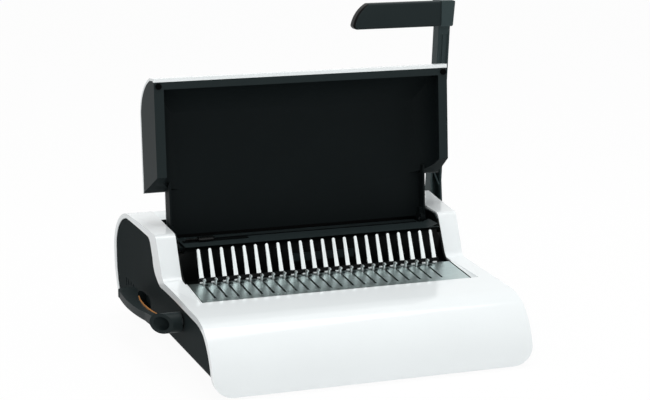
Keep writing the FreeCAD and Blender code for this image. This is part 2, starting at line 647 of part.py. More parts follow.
guides = [
    prism(side + "_hook_guide", "XZ", [
        (f"{s} * (hook_plate_half - 6)", plate_low + " - 2.3"),
        (f"{s} * (hook_plate_half + 3)", plate_low + " - 2.3"),
        (f"{s} * (hook_plate_half + 3)", "-tray_thick"),
        (f"{s} * (hook_plate_half + seam)", "-tray_thick"),
        (f"{s} * (hook_plate_half + seam)", plate_low + " - seam"),
        (f"{s} * (hook_plate_half - 6)", plate_low + " - seam")], "4", "74")
    for side, s in (("left", "-1"), ("right", "1"))]
node("hook_guides", lean(group("hook_guides", *guides), "tray_slope", "tine_base_y",
                         "tine_base_z"))

# Comb lever on the left
hub = bar("lever_hub", "x", "lever_hub_r", "-lever_in_x - 30", "-half_front - 1.6",
          "opener_axis_y", "opener_axis_z")
paddle_side = prism("paddle_side", "YZ", [
    ("opener_axis_y", "opener_axis_z - lever_hub_r", "-160"), ("-24", "43", "900"), ("44", "44", "300"),
    ("lever_tip_y - 5", "50"), ("lever_tip_y + 2", "50"), ("lever_tip_y + 2", "58.5"),
    ("lever_tip_y - 10", "58", "-400"), ("30", "53", "-300"), ("-14", "54.5", "-90"),
    ("opener_axis_y + 4", "opener_axis_z + lever_hub_r - 0.7"),
    ("opener_axis_y", "opener_axis_z + lever_hub_r - 0.7")], "-lever_tip_x - 2", "-lever_in_x + 6")
FINGER_EDGE = [
    ("-lever_in_x - 5.6", "-22"), ("-lever_in_x - 8.5", "-6"), ("-lever_in_x - 10.7", "12"),
    ("-lever_in_x - 11.5", "32"), ("-lever_in_x - 10.6", "52"), ("-lever_in_x - 8", "70")]
paddle_plan = prism("paddle_plan", "XY", [
    ("-lever_in_x - 1", "opener_axis_y - 2"), ("-lever_in_x - 2", "-36"), *FINGER_EDGE,
    ("-lever_in_x - 4", "87"),
    ("-lever_in_x - 5", "lever_tip_y - 2", "3"), ("-lever_in_x - 8", "lever_tip_y", "60"),
    ("-lever_tip_x + 6", "lever_tip_y - 2", "7"), ("-lever_tip_x", "lever_tip_y - 12", "420"),
    ("-lever_tip_x + 10", "0", "420"), ("-lever_in_x - 10", "opener_axis_y + 8"),
    ("-lever_in_x - 9", "opener_axis_y - 2")], "20", "110")
paddle = common("paddle", paddle_side, paddle_plan)
hub_bore = bar("hub_bore", "x", "lever_hub_r - 4", "-lever_in_x - 40", "-lever_in_x + 3",
               "opener_axis_y", "opener_axis_z")
hub_slice = prism("hub_slice", "XY", [
    ("-lever_in_x - 26", "opener_axis_y + lever_hub_r + 1"),
    ("-lever_in_x - 46", "opener_axis_y + lever_hub_r + 1"),
    ("-lever_in_x - 46", "opener_axis_y - lever_hub_r - 2"),
    ("-lever_in_x - 1.2", "opener_axis_y - lever_hub_r - 2")], "opener_axis_z - 20",
    "opener_axis_z + 20")
shaft_seat = bar("shaft_seat", "x", "opener_shaft_r", "-lever_in_x + 2", "-half_front",
                 "opener_axis_y", "opener_axis_z")
hub_end = cut("hub_end", hub, hub_slice)
node("comb_lever_arm", cut("comb_lever_arm", fuse("lever_stock", hub_end, paddle), hub_bore, shaft_seat))
# Lining along the inner edge of the paddle, where the fingers pull
node("finger_hole_liner", prism("finger_hole_liner", "XY", [
    (x + " + 1.6", y) for x, y in FINGER_EDGE] + FINGER_EDGE[::-1], "46", "54.3"))

# Lid, built upright with its hinge axis at the origin
LID_FRONT = [
    ("-lid_neck_half", "2"), ("lid_neck_half", "2"), ("lid_neck_half", "flange_low_rear - 4"),
    ("lid_half", "flange_low_rear - 1"), ("lid_half", "lid_top - lid_round", "lid_round"),
    ("lid_half - lid_round", "lid_top"), ("-lid_half + lid_round", "lid_top", "lid_round"),
    ("-lid_half", "lid_top - lid_round"), ("-lid_half", "flange_low_rear - 1"),
    ("-lid_neck_half", "flange_low_rear - 4")]
LID_SIDE = [
    ("lid_rim_w", "flange_low_rim"), ("lid_shell_w", "flange_low_rear"),
    ("lid_shell_w", "lid_nose_v", "lid_nose_r"), ("lid_nose_w", "lid_top"), ("lid_rim_w", "lid_top")]
lid_face = outline("lid_front", "XZ", LID_FRONT)
lid_profile = outline("lid_profile", "YZ", LID_SIDE)
profile_inset = doc.addObject("Part::Offset2D", "lid_profile_inset")
profile_inset.Source = lid_profile
profile_inset.setExpression("Value", "-(" + ex("wall") + ")")
lid_square = common("lid_square", raise_from("lid_block_front", lid_face, "-lid_shell_w", "-lid_rim_w"),
                    raise_from("lid_block_side", lid_profile, "-lid_half", "lid_half"))
lid_block = common("lid_block", lid_square, prism("lid_taper", "XY", [
    ("-rim_half", "lid_rim_w"), ("rim_half", "lid_rim_w"), ("lid_half", "lid_shell_w"),
    ("-lid_half", "lid_shell_w")], "0", "lid_top + 1"))
# White shell: the outer 3 mm of the back and nose, and the back sheet of the neck
shell_core = fuse("shell_core", raise_from("shell_core_side", profile_inset, "-lid_half - 1",
                                           "lid_half + 1"),
                  box("shell_core_rim", ("-lid_half - 1", "lid_half + 1"),
                      ("lid_rim_w - 1", "lid_nose_w - 1"), ("0", "lid_top - lid_band")),
                  box("shell_core_low", ("-lid_half - 1", "lid_half + 1"), ("lid_rim_w - 1", "lid_in_w"),
                      ("0", "lid_nose_v - 20")))
neck_sheet = box("neck_sheet", ("-lid_neck_half", "lid_neck_half"), ("lid_in_w", "lid_shell_w"),
                 ("2", "flange_low_rear + 4"))
node("lid_shell", lean(fuse("lid_shell", cut("shell_skin", lid_block, shell_core), neck_sheet),
                       "-lid_lean", "hinge_y", "hinge_z"))
# Dark support: fills the shell, with the document recess cut out of it
recess_side = prism("recess_side", "YZ", [
    ("-60", "-5"), ("lid_in_w - wall", "-5"), ("lid_in_w - wall", "lid_nose_v - 8", "55"),
    ("lid_nose_w - 2", "lid_top - lid_band - lid_strip"), ("-60", "lid_top - lid_band - lid_strip")],
    "-recess_half", "recess_half")
recess_plan = prism("recess_plan", "XY", [
    ("-recess_half", "-60"), ("recess_half", "-60"), ("recess_half", "-22", "31.5"),
    ("recess_half - 26", "lid_in_w - wall"), ("-recess_half + 26", "lid_in_w - wall", "31.5"),
    ("-recess_half", "-22")], "-5", "lid_top")
support_hollow = common("support_hollow", recess_side, recess_plan)
neck_sides = [
    box(side + "_neck_side", span, ("lid_in_w - neck_deep", "lid_in_w"), ("2", "flange_low_rear + 14"))
    for side, span in (("left", ("-lid_neck_half", "-lid_neck_half + neck_side")),
                       ("right", ("lid_neck_half - neck_side", "lid_neck_half")))]
neck_panel = box("neck_panel", ("-lid_neck_half", "lid_neck_half"), ("lid_in_w - wall", "lid_in_w"),
                 ("2", "flange_low_rear + 12"))
support_block = common("support_block", lid_block, shell_core)
ears = []
for side, low, high in (("left", "-lid_neck_half", "-lid_neck_half + ear_wide"),
                        ("right", "lid_neck_half - ear_wide", "lid_neck_half")):
    ears.append(bar(side + "_ear", "x", "ear_r", low, high, "0", "0"))
    ears.append(box(side + "_ear_web", (low, high), ("-3", "lid_in_w"), ("0", "14")))
ear_bore = bar("ear_bore", "x", "hinge_pin_r + run_gap", "-lid_half", "lid_half", "0", "0")
support = fuse("support_cut", cut("support_frame", support_block, support_hollow), neck_panel,
               *neck_sides)
node("document_support", lean(cut("document_support", fuse("support_body", support, *ears),
                                  ear_bore), "-lid_lean", "hinge_y", "hinge_z"))
bumpers = [
    bar(side + "_bumper", "y", "3.7", "lid_rim_w - 2", "lid_rim_w", x, "lid_top - lid_band - 5")
    for side, x in (("left", "-rim_half + 5.5"), ("right", "rim_half - 5.5"))]
node("lid_bumpers", lean(group("lid_bumpers", *bumpers), "-lid_lean", "hinge_y", "hinge_z"))
hinge_pins = [
    bar(side + "_hinge_pin", "x", "hinge_pin_r", low, high, "hinge_y", "hinge_z")
    for side, low, high in (("left", "-well_half - wall", "-lid_neck_half + ear_wide"),
                            ("right", "lid_neck_half - ear_wide", "well_half + wall"))]
node("lid_hinge_pins", group("lid_hinge_pins", *hinge_pins))

# Rear cover with the drawer's doorway
rear_sheet = prism("rear_sheet", "YZ", [
    ("ledge_back_y", "rear_deck_z"), ("ledge_back_y", "rear_deck_z - wall"),
    ("ledge_back_y + 3", "rear_deck_z - wall"), ("ledge_back_y + 10", "top_z - 0.5 - wall"),
    ("rear_y - 46", "top_z + top_rise - 0.5 - wall", "-48"), ("rear_y - 4.3", "85", "-117"),
    ("rear_y - 16.5", "skirt_z"), ("rear_y - 13.5", "skirt_z", "120"), ("rear_y - 1.3", "85", "51"),
    ("rear_y - 46", "top_z + top_rise - 0.5"), ("ledge_back_y + 8", "top_z - 0.5")],
    "-cheek_half", "cheek_half")
node("rear_ledge", box("rear_ledge", ("-cheek_half", "cheek_half"),
                       ("strip_back_y + seam", "ledge_back_y"), ("rear_deck_z - wall", "rear_deck_z")))
doorway = box("doorway", ("-drawer_half - 3", "drawer_half + 3"), ("150", "rear_y + 5"),
              ("0", "drawer_high_z + 3"))
node("rear_cover", cut("rear_cover", rear_sheet, doorway))

# Chip drawer on its runners
drawer_back = "rear_y - 9"
drawer_stock = box("drawer_stock", ("-drawer_half", "drawer_half"),
                   ("drawer_front_y", drawer_back), ("drawer_low_z", "drawer_high_z"))
drawer_space = box("drawer_space", ("-drawer_half + drawer_wall", "drawer_half - drawer_wall"),
                   ("drawer_front_y + drawer_wall", "rear_y - 9 - drawer_wall"),
                   ("drawer_low_z + drawer_wall", "drawer_high_z + 1"))
node("chip_drawer", cut("chip_drawer", drawer_stock, drawer_space))
node("drawer_pull", prism("drawer_pull", "YZ", [
    (drawer_back, "42"), ("rear_y - 1", "44"), ("rear_y - 1", "50"), (drawer_back, "52")],
    "-30", "30"))
runners = [
    prism(side + "_runner", "XZ", [
        (f"{s} * (drawer_half - 8)", "pan_z + wall"), (f"{s} * (drawer_half + 6)", "pan_z + wall"),
        (f"{s} * (drawer_half + 6)", "drawer_low_z + 8"),
        (f"{s} * (drawer_half + seam)", "drawer_low_z + 8"),
        (f"{s} * (drawer_half + seam)", "drawer_low_z - 0.1"),
        (f"{s} * (drawer_half - 8)", "drawer_low_z - 0.1")], "-rear_y + 24", "-drawer_front_y")
    for side, s in (("left", "-1"), ("right", "1"))]
node("drawer_runners", group("drawer_runners", *runners))

# Paper edge guide on the deck
node("guide_track", box("guide_track", ("-161", "-79"), ("39", "46"), ("deck_z", "deck_z + 1.2")))
fence = box("fence", ("-124", "-122"), ("39.5", "49"), ("deck_z + 1.2 + 0.1", "deck_z + 5"))
guide_rod = bar("guide_rod", "x", "1.2", "-157", "-123", "42.5", "deck_z + 1.3 + 1.6")
node("edge_guide", fuse("edge_guide", fence, guide_rod))
knob_stock = prism("knob_stock", "YZ", [
    ("36.5", "deck_z + 1.3"), ("48.5", "deck_z + 1.3"), ("48.5", "deck_z + 3", "7.85"),
    ("36.5", "deck_z + 3")], "-142", "-124")
knob_bore = bar("knob_bore", "x", "1.2", "-150", "-120", "42.5", "deck_z + 1.3 + 1.6")
node("guide_knob", cut("guide_knob", knob_stock, knob_bore))

# Punch handle
arm_side = [
    ("punch_axis_y - handle_hub_r", "punch_axis_z", "handle_hub_r * 1.0001"),
    ("punch_axis_y + handle_hub_r", "punch_axis_z"), ("180", "150"),
    ("handle_top_y + handle_deep / 2", "handle_top_z"),
    ("handle_top_y - handle_deep / 2", "handle_top_z"), ("162", "150"),
]
arm_stock = prism("arm_stock", "YZ", arm_side, "handle_in_x", "handle_out_x")
channel = prism("arm_channel", "YZ", [
    ("150", "112"), ("178", "112"), ("176", "150"), ("172.5", "190"), ("140", "190"), ("140", "150")],
    "handle_in_x + 2.6", "handle_out_x - 2.6")
rib_low = prism("rib_low", "XZ", [
    ("handle_in_x + 2", "172"), ("handle_in_x + 2", "167"), ("handle_out_x - 2", "139"),
    ("handle_out_x - 2", "144")], "-182", "-163")
flutes = [
    prism(f"flute_{i}", "YZ", [
        ("140", "196"), ("160.6", "196"), ("handle_top_y - handle_deep / 2 + 2.5", "handle_top_z - 12"),
        ("120", "handle_top_z - 12")], low, high)
    for i, (low, high) in enumerate((("handle_in_x + 2.4", "handle_in_x + 6.4"),
                                     ("handle_in_x + 9.6", "handle_in_x + 13.6")))]
channel_left = cut("channel_left", channel, rib_low)
shaft_socket = bar("shaft_socket", "x", "shaft_r", "handle_in_x - 1", "handle_out_x - 3",
                   "punch_axis_y", "punch_axis_z")
node("lever_arm", cut("lever_arm", arm_stock, channel_left, *flutes, shaft_socket))
node("hub_cap", bar("hub_cap", "x", "8", "handle_out_x", "block_out_x", "punch_axis_y",
                    "punch_axis_z"))
block_side = prism("block_side", "YZ", [
    ("grip_front_y - 1.6", "grip_low_z"), ("handle_top_y + handle_deep / 2 + 1", "grip_low_z"),
    ("handle_top_y + handle_deep / 2 - 3", "grip_top_z", "60"), ("grip_front_y - 1.6", "grip_top_z")],
    "block_in_x", "block_out_x")
block_stock = common("block_stock", block_side, prism("block_front", "XZ", [
    ("block_in_x", "grip_low_z"), ("block_out_x - 3", "grip_low_z"), ("block_out_x", "grip_top_z"),
    ("block_in_x", "grip_top_z")], "-200", "-100"))
node("grip_end_block", soften("grip_end_block", block_stock, "3", lambda e: e.BoundBox.XMin > 225))
grip_stock = prism("grip_stock", "XZ", [
    ("grip_left_x + 6", "grip_low_z", ), ("block_in_x", "grip_low_z"),
    ("block_in_x", "grip_top_z - 0.5"), ("grip_left_x + 20", "grip_top_z - 0.5", "40"),
    ("grip_left_x", "grip_low_z + 5", "6")],
    "-grip_front_y - grip_deep", "-grip_front_y")
node("lever_grip", soften("lever_grip", grip_stock, "3", lambda e: (
    e.BoundBox.YLength < 0.1 and e.BoundBox.XMin < num("block_in_x") - 1)))

doc.recompute()
os.makedirs("parts", exist_ok=True)
for name, solid in NODES.items():
    shape = solid.Shape
    if "Invalid" in solid.State or shape.isNull() or not shape.isValid() or not shape.Solids:
        raise RuntimeError(f"{name}: {solid.State}, {len(shape.Solids)} solids")
    solid.Label = name
    shape.exportStep(f"parts/{name}.step")
print(len(NODES), "parts written")
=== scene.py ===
import json
import math

import bmesh
import bpy
from bpy.props import FloatProperty, FloatVectorProperty, PointerProperty
from mathutils import Matrix, Vector


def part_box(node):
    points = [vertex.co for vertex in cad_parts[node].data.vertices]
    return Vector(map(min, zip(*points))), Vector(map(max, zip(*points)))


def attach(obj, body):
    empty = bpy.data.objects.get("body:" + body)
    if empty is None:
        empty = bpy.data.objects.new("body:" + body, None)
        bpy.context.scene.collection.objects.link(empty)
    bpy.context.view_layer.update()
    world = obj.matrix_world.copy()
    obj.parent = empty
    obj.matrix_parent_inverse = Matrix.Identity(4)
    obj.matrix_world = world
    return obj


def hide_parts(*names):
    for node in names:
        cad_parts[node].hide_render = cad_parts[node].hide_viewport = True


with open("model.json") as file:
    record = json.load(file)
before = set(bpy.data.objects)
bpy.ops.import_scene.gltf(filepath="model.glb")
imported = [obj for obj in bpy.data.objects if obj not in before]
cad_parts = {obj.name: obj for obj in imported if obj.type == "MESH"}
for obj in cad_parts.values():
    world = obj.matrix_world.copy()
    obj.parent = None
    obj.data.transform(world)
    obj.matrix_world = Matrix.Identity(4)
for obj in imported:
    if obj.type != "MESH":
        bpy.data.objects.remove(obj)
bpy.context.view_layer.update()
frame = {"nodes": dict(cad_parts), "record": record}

bl_info = {
    "name": "Comb binding machine",
    "version": (1, 0, 0),
    "blender": (4, 5, 0),
    "location": "3D View > Sidebar > Comb binder",
    "description": "Finishes the comb binding machine around its packed frame",
    "category": "Object",
}

MM = 0.001

# Moulded plastic: width of the flow shading, and the grain that the tool leaves
FLOW_MM = 60
GRAIN_DEPTH_MM = 0.05
GRAIN_SPREAD = 0.05
PLASTIC_IOR = 1.53
COAT_ROUGHNESS = 0.05

# Metal: streaks this many times longer than wide, and how far they shade and roughen it
STREAK_LENGTHS = 40
STREAK_SHADE = 0.22
STREAK_SPREAD = 0.08
STREAK_DEPTH_MM = 0.03

# Part of a noise pattern's range that goes from its dark to its light colour
SHADE_RANGE = (0.35, 0.65)

# Copies of mouldings: nearer points are merged, flatter edges dissolved, sharper ones rounded
MERGE_DISTANCE = 0.004 * MM
FLAT_ANGLE = math.radians(0.6)
SHARP_ANGLE = math.radians(30)

# Stretches of the mouldings, as limits in mm, with x counted from the middle to either side
NO_LIMITS = (-math.inf, math.inf)
DECK_CORNER = {"x": (170.9, 171.1), "y": (-82, -75), "z": (80, 83)}
BAY_DECK_END = {"x": (168.5, math.inf), "z": (107, 129)}
# Where painted light goes on the comb bay's top and ribs
BAY_TOP = {"z": (115, math.inf)}
BAY_RIBS = {"y": (20, 24.2), "z": (92, 112)}
# Where painted shade goes: the lid's flange ends, its notches and the hinge gap
LID_FLANGE_END = {"x": (165, math.inf), "z": (165, 215)}
LID_NOTCH = {"z": (-math.inf, 215)}
HINGE_GAP = {"y": (-math.inf, 120)}

# Where the deck's front corners are drawn to, in mm from the middle
WIDE_CORNER_X = 174

# Front edge of the comb bay's cheeks: its foot in mm, and how far it runs back as it rises
CHEEK_FOOT_Y = 16
CHEEK_FOOT_Z = 90.5
CHEEK_LEAN = 20 / 38

# The lid's recess in mm, where painted shade goes: half its width, and its depth from the leaning plane
# through the hinge
LID_LEAN = math.radians(4)
RECESS_HALF_WIDTH = 178
RECESS_FRONT = -32
RECESS_BACK = 9

# Steps along the lips beside the tray, whose tops are twisted
LIP_STEPS = 24

# Studio in metres and watts; the seen share of the floor is plain white, the rest takes the shadow
WHITE = (1, 1, 1, 1)
FLOOR_HALF = 6.0
FLOOR_ROUGHNESS = 0.6
FLOOR_SEEN_SHARE = 0.955
WORLD_SOFT = 0.42
WORLD_SEEN = 1.0
LAMP_TARGET = Vector((0, 0, 0.15))
SOFTBOXES = {
    "overhead_softbox": {"place": (0.1, -0.1, 1.9), "width": 1.6, "height": 1.0, "power": 21},
    "front_left_softbox": {"place": (-0.9, -2.2, 1.3), "width": 1.0, "height": 1.0, "power": 8},
    "right_softbox": {"place": (1.7, -1.2, 1.0), "width": 0.8, "height": 1.2, "power": 5},
}

# Camera at the photograph's viewing angle, in metres, with lens and sensor in mm
CAMERA_PLACE = (-0.7056, -1.9927, 0.6351)
CAMERA_FORWARD = (0.3285, 0.9200, -0.2137)
CAMERA_NEAR = 0.05
CAMERA_LENS = 99.28
CAMERA_SENSOR = 36.0


def linear(hex_text):
    """Linear RGBA from an sRGB hex colour."""
    parts = [int(hex_text[i:i + 2], 16) / 255 for i in (1, 3, 5)]
    return [c / 12.92 if c <= 0.04045 else ((c + 0.055) / 1.055) ** 2.4 for c in parts] + [1.0]


def colour_property(name, hex_text, description):
    return FloatVectorProperty(name=name, description=description, subtype="COLOR", size=4,
                               min=0.0, max=1.0, default=linear(hex_text))


def size_property(name, millimetres, description):
    return FloatProperty(name=name, description=description, default=millimetres * MM,
                         min=0.0, subtype="DISTANCE", unit="LENGTH")


class BinderColours(bpy.types.PropertyGroup):
    white: colour_property("White", "#f1f6f7", "Gloss cover and lid shell")
    charcoal: colour_property("Charcoal", "#222a2b", "Rim of the lid's lining, grip and comb lever")
    panel: colour_property("Panel", "#1d2425", "Side panels and base")
    slate: colour_property("Slate", "#364243", "Handle's arm and end block of the grip")
    # Painted shade: a darker, duller charcoal stands in for the shade in the lining's recess
    lining: colour_property("Lining", "#151a1b", "Recess of the lid's lining")
    black: colour_property("Black", "#070909", "Comb bay and edge guide")
    tray: colour_property("Tray", "#c0d0cf", "Rolled sheet of the comb tray")
    plated: colour_property("Plated", "#e2e8e8", "Fingers and hooks")
    steel: colour_property("Steel", "#989c9e", "Punch set and shafts")
    # Painted shade: near-black steel where the throat and the tray's windows lie in shade
    painted_shade_steel: colour_property("Blackened", "#15181a", "Plates round the throat and under the hooks")
    bronze: colour_property("Bronze", "#986b37", "Shaft bushes")
    rubber: colour_property("Rubber", "#040505", "Feet and lid bumpers")
    amber: colour_property("Amber", "#c98a4e", "Lining of the comb lever's paddle")
    floor: colour_property("Floor", "#fbfbfb", "Studio floor")


class BinderSizes(bpy.types.PropertyGroup):
    cover_round: size_property("Cover round", 3.0, "Rounding of the white cover's edges")
    lid_round: size_property("Lid round", 2.0, "Rounding of the lid's edges")
    small_round: size_property("Small round", 1.2, "Rounding of dark mouldings")
    wall_round: size_property("Wall round", 0.5, "Rounding of the comb bay and the grip's end block")
    lip_gap: size_property("Lip gap", 1.2, "Gap between the tray and the cover's lip beside it")
    lip_wide: size_property("Lip width", 5.0, "Width of a lip, part of it inside the cover")
    lip_rise: size_property("Lip rise", 0.5, "Height of a lip's inner edge over the tray")
    lip_thick: size_property("Lip thickness", 1.6, "Depth of a lip below the tray's top")
    lip_sink: size_property("Lip sink", 0.05, "Depth of a lip's outer edge below the deck")
    lip_round: size_property("Lip round", 0.2, "Rounding of the lips' edges")
    tray_sheet: size_property("Tray sheet", 2.0, "Thickness of the tray's sheet")
    deck_height: size_property("Deck height", 84.2, "Height of the sloping deck at the origin")
    deck_drop: size_property("Deck drop", 2.7, "Fall of the deck towards the front")
    deck_run: size_property("Deck run", 75.0, "Length over which the deck falls that far")


def add_node(tree, kind, links=(), inputs=(), **settings):
    """Add a node, set its properties and inputs, and link (input, node, output) triples."""
    made = tree.nodes.new(kind)
    for key, value in settings.items():
        setattr(made, key, value)
    for key, value in inputs:
        made.inputs[key].default_value = value
    for key, source, output in links:
        tree.links.new(source.outputs[output], made.inputs[key])
    return made


def surface(name):
    """New material with its Principled shader and Object coordinates."""
    material = bpy.data.materials.new(name)
    material.use_nodes = True
    tree = material.node_tree
    tree.nodes.clear()
    shader = add_node(tree, "ShaderNodeBsdfPrincipled")
    add_node(tree, "ShaderNodeOutputMaterial", [("Surface", shader, "BSDF")])
    coords = add_node(tree, "ShaderNodeTexCoord")
    return material, tree, shader, coords


def shaded(tree, shader, pattern, colour, depth):
    """Base colour that a pattern darkens by up to depth."""
    ramp = add_node(tree, "ShaderNodeValToRGB", [("Fac", pattern, "Fac")])
    dark, light = ramp.color_ramp.elements
    dark.position, light.position = SHADE_RANGE
    dark.color = [c * (1 - depth) for c in colour[:3]] + [1.0]
    light.color = list(colour[:3]) + [1.0]
    tree.links.new(ramp.outputs["Color"], shader.inputs["Base Color"])


def textured(tree, shader, pattern, roughness, spread, bump, depth_mm):
    """Roughness and bump from the same fine pattern."""
    rough = add_node(tree, "ShaderNodeMapRange", [("Value", pattern, "Fac")],
                     [("To Min", roughness - spread), ("To Max", roughness + spread)])
    tree.links.new(rough.outputs["Result"], shader.inputs["Roughness"])
    bumps = add_node(tree, "ShaderNodeBump", [("Height", pattern, "Fac")],
                     [("Strength", bump), ("Distance", depth_mm * MM)])
    tree.links.new(bumps.outputs["Normal"], shader.inputs["Normal"])


def moulded(name, colour, roughness, bump, gloss=0.5, coat=0.0, grain_mm=0.5, flow_depth=0.06):
    """Injection-moulded plastic or rubber: slight flow shading and the grain of the tool.

    A real tool's grain is about 0.1 mm wide. It is drawn several times coarser, so that it shows.
    """
    material, tree, shader, coords = surface(name)
    flow = add_node(tree, "ShaderNodeTexNoise", [("Vector", coords, "Object")],
                    [("Scale", 1 / (FLOW_MM * MM)), ("Detail", 2.0)])
    shaded(tree, shader, flow, colour, flow_depth)
    grain = add_node(tree, "ShaderNodeTexNoise", [("Vector", coords, "Object")],
                     [("Scale", 1 / (grain_mm * MM)), ("Detail", 3.0)])
    textured(tree, shader, grain, roughness, GRAIN_SPREAD, bump, GRAIN_DEPTH_MM)
    shader.inputs["IOR"].default_value = PLASTIC_IOR
    shader.inputs["Specular IOR Level"].default_value = gloss
    shader.inputs["Coat Weight"].default_value = coat
    shader.inputs["Coat Roughness"].default_value = COAT_ROUGHNESS
    return material


def metal(name, colour, roughness, bump, along, streak_mm=0.35):
    """Rolled, drawn or ground metal: fine streaks that run along the axes given.

    Real streaks are some hundredths of a millimetre wide. They are drawn wider, so that they show.
    """
    material, tree, shader, coords = surface(name)
    stretch = [1 / (streak_mm * MM)] * 3
    for axis in along:
        stretch[axis] = 1 / (STREAK_LENGTHS * streak_mm * MM)
    mapping = add_node(tree, "ShaderNodeMapping", [("Vector", coords, "Object")],
                       [("Scale", stretch)])
    streaks = add_node(tree, "ShaderNodeTexNoise", [("Vector", mapping, "Vector")],
                       [("Scale", 1.0), ("Detail", 4.0)])
    shaded(tree, shader, streaks, colour, STREAK_SHADE)
    textured(tree, shader, streaks, roughness, STREAK_SPREAD, bump, STREAK_DEPTH_MM)
    shader.inputs["Metallic"].default_value = 1.0
    return material


def make_materials(colours):
    across = [0]
    lengthwise = [1, 2]
    return {
        # Gloss ABS from a polished tool: clear highlights on a cool white
        "white": moulded("moulded_white_abs_gloss", colours.white, roughness=0.14, bump=0.02,
                         gloss=0.28, coat=0.2, flow_depth=0.012),
        # ABS from a spark-eroded tool: a soft sheen with a fine grain
        "charcoal": moulded("moulded_charcoal_abs_satin", colours.charcoal, roughness=0.42, bump=0.2,
                            gloss=0.06),
        # ABS with a stronger, duller grain: the panels stay dark at a flat angle
        "panel": moulded("moulded_charcoal_abs_matt", colours.panel, roughness=0.55, bump=0.3,
                         gloss=0.012),
        # A shade lighter: the handle's arm and end block stand out from the grip
        "slate": moulded("moulded_slate_abs_satin", colours.slate, roughness=0.42, bump=0.2, gloss=0.06),
        # Painted shade: the lid's lining is one charcoal moulding, drawn darker and duller in its recess
        # than on its rim to stand in for the shade there
        "lining": moulded("moulded_charcoal_abs_painted_recess_shade", colours.lining, roughness=0.5, bump=0.25,
                          gloss=0.03),
        # Black ABS: the comb bay sends back only a faint sheen
        "black": moulded("moulded_black_abs_satin", colours.black, roughness=0.34, bump=0.2, gloss=0.06),
        # Stainless sheet, rolled along the comb row: reflections spread into soft streaks
        "tray": metal("rolled_stainless_sheet", colours.tray, roughness=0.31, bump=0.03, along=across),
        # Nickel-plated spring steel, drawn lengthwise: soft, bright and finely ribbed
        "plated": metal("nickel_plated_spring_steel", colours.plated, roughness=0.5, bump=0.25,
                        along=lengthwise, streak_mm=0.8),
        # Ground tool steel: a grey shine with grinding lines
        "steel": metal("ground_tool_steel", colours.steel, roughness=0.32, bump=0.2, along=across),
        # Painted shade: near-black steel on the plates round the throat and under the hooks, so that the
        # throat and the tray's windows stay dark
        "painted_shade_steel": metal("near_black_steel_painted_shade", colours.painted_shade_steel, roughness=0.5, bump=0.2,
                           along=across),
        # Sintered bronze: a dull brown metal with an open surface
        "bronze": metal("sintered_bronze", colours.bronze, roughness=0.42, bump=0.3, along=across),
        # Moulded rubber: matt and nearly black
        "rubber": moulded("moulded_black_rubber", colours.rubber, roughness=0.7, bump=0.4, gloss=0.02,
                          grain_mm=0.8),
        # Tinted ABS: a warm line along the comb lever, with a plain plastic shine
        "amber": moulded("amber_tinted_abs", colours.amber, roughness=0.3, bump=0.1),
    }


FINISHES = {
    "white": ["main_cover", "rear_cover", "lid_shell"],
    "charcoal": ["document_support", "lever_grip", "rear_ledge", "hub_cap", "comb_lever_arm",
                 "chip_drawer", "drawer_pull", "drawer_runners"],
    "panel": ["left_side_panel", "right_side_panel", "base_pan"],
    "slate": ["grip_end_block", "lever_arm"],
    "black": ["comb_wall", "tine_rail", "guide_track", "edge_guide", "guide_knob", "hook_guides"],
    "tray": ["tray_plate"],
    "plated": ["tines", "comb_hooks"],
    # Painted shade: near-black plates round the throat and under the hooks
    "painted_shade_steel": ["die_plate", "stripper_plate", "paper_stop", "hook_plate"],
    "steel": ["end_frames", "opener_brackets", "drive_shaft", "drive_pinions", "punch_bar",
              "punch_pins", "drive_racks", "opener_shaft", "opener_pinions", "opener_racks",
              "lid_hinge_pins", "base_screws"],
    "bronze": ["shaft_bushes"],
    "rubber": ["rubber_feet", "lid_bumpers"],
    "amber": ["finger_hole_liner"],
}

# Filled by the finishes operator, from finish to material
materials = {}


def body_of_node(name):
    for body, nodes in frame["record"]["behaviour"]["bodies"].items():
        if name in nodes:
            return body
    raise ValueError(name + " is on no body")


def joint_place(name):
    """A joint's place in the frame, in mm."""
    for joint in frame["record"]["behaviour"]["joints"]:
        if joint["name"] == name:
            return Vector(joint["pos_m"]) / MM
    raise ValueError("no joint is named " + name)


def link_object(name, data):
    made = bpy.data.objects.new(name, data)
    bpy.context.scene.collection.objects.link(made)
    return made


def piece_from(shape, name, finish, body):
    """Mesh object from a finished bmesh, riding on a body."""
    mesh = bpy.data.meshes.new(name)
    shape.to_mesh(mesh)
    shape.free()
    mesh.materials.append(materials[finish])
    made = link_object(name, mesh)
    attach(made, body)
    return made


def rounded_copy(node, finish, width, segments=3, trim=None):
    """A merged copy of a node whose edges are rounded, in the node's place."""
    shape = bmesh.new()
    shape.from_mesh(frame["nodes"][node].data)
    if trim:
        trim(shape)
    bmesh.ops.remove_doubles(shape, verts=shape.verts, dist=MERGE_DISTANCE)
    bmesh.ops.dissolve_limit(shape, angle_limit=FLAT_ANGLE, verts=shape.verts, edges=shape.edges)
    for face in shape.faces:
        face.smooth = True
    for edge in shape.edges:
        if len(edge.link_faces) == 2 and edge.calc_face_angle(0) > SHARP_ANGLE:
            edge.smooth = False
    made = piece_from(shape, node + "_rounded", finish, body_of_node(node))
    bevel = made.modifiers.new("edge_round", "BEVEL")
    bevel.width = width
    bevel.segments = segments
    bevel.limit_method = "ANGLE"
    bevel.angle_limit = SHARP_ANGLE
    bevel.harden_normals = True
    bevel.use_clamp_overlap = True
    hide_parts(node)
    return made


def second_finish(name, finish, chosen):
    """Another finish on the faces of a piece that a test of place (mm) and facing picks."""
    mesh = bpy.data.objects[name].data
    index = len(mesh.materials)
    mesh.materials.append(materials[finish])
    for face in mesh.polygons:
        if chosen(face.center / MM, face.normal):
            face.material_index = index


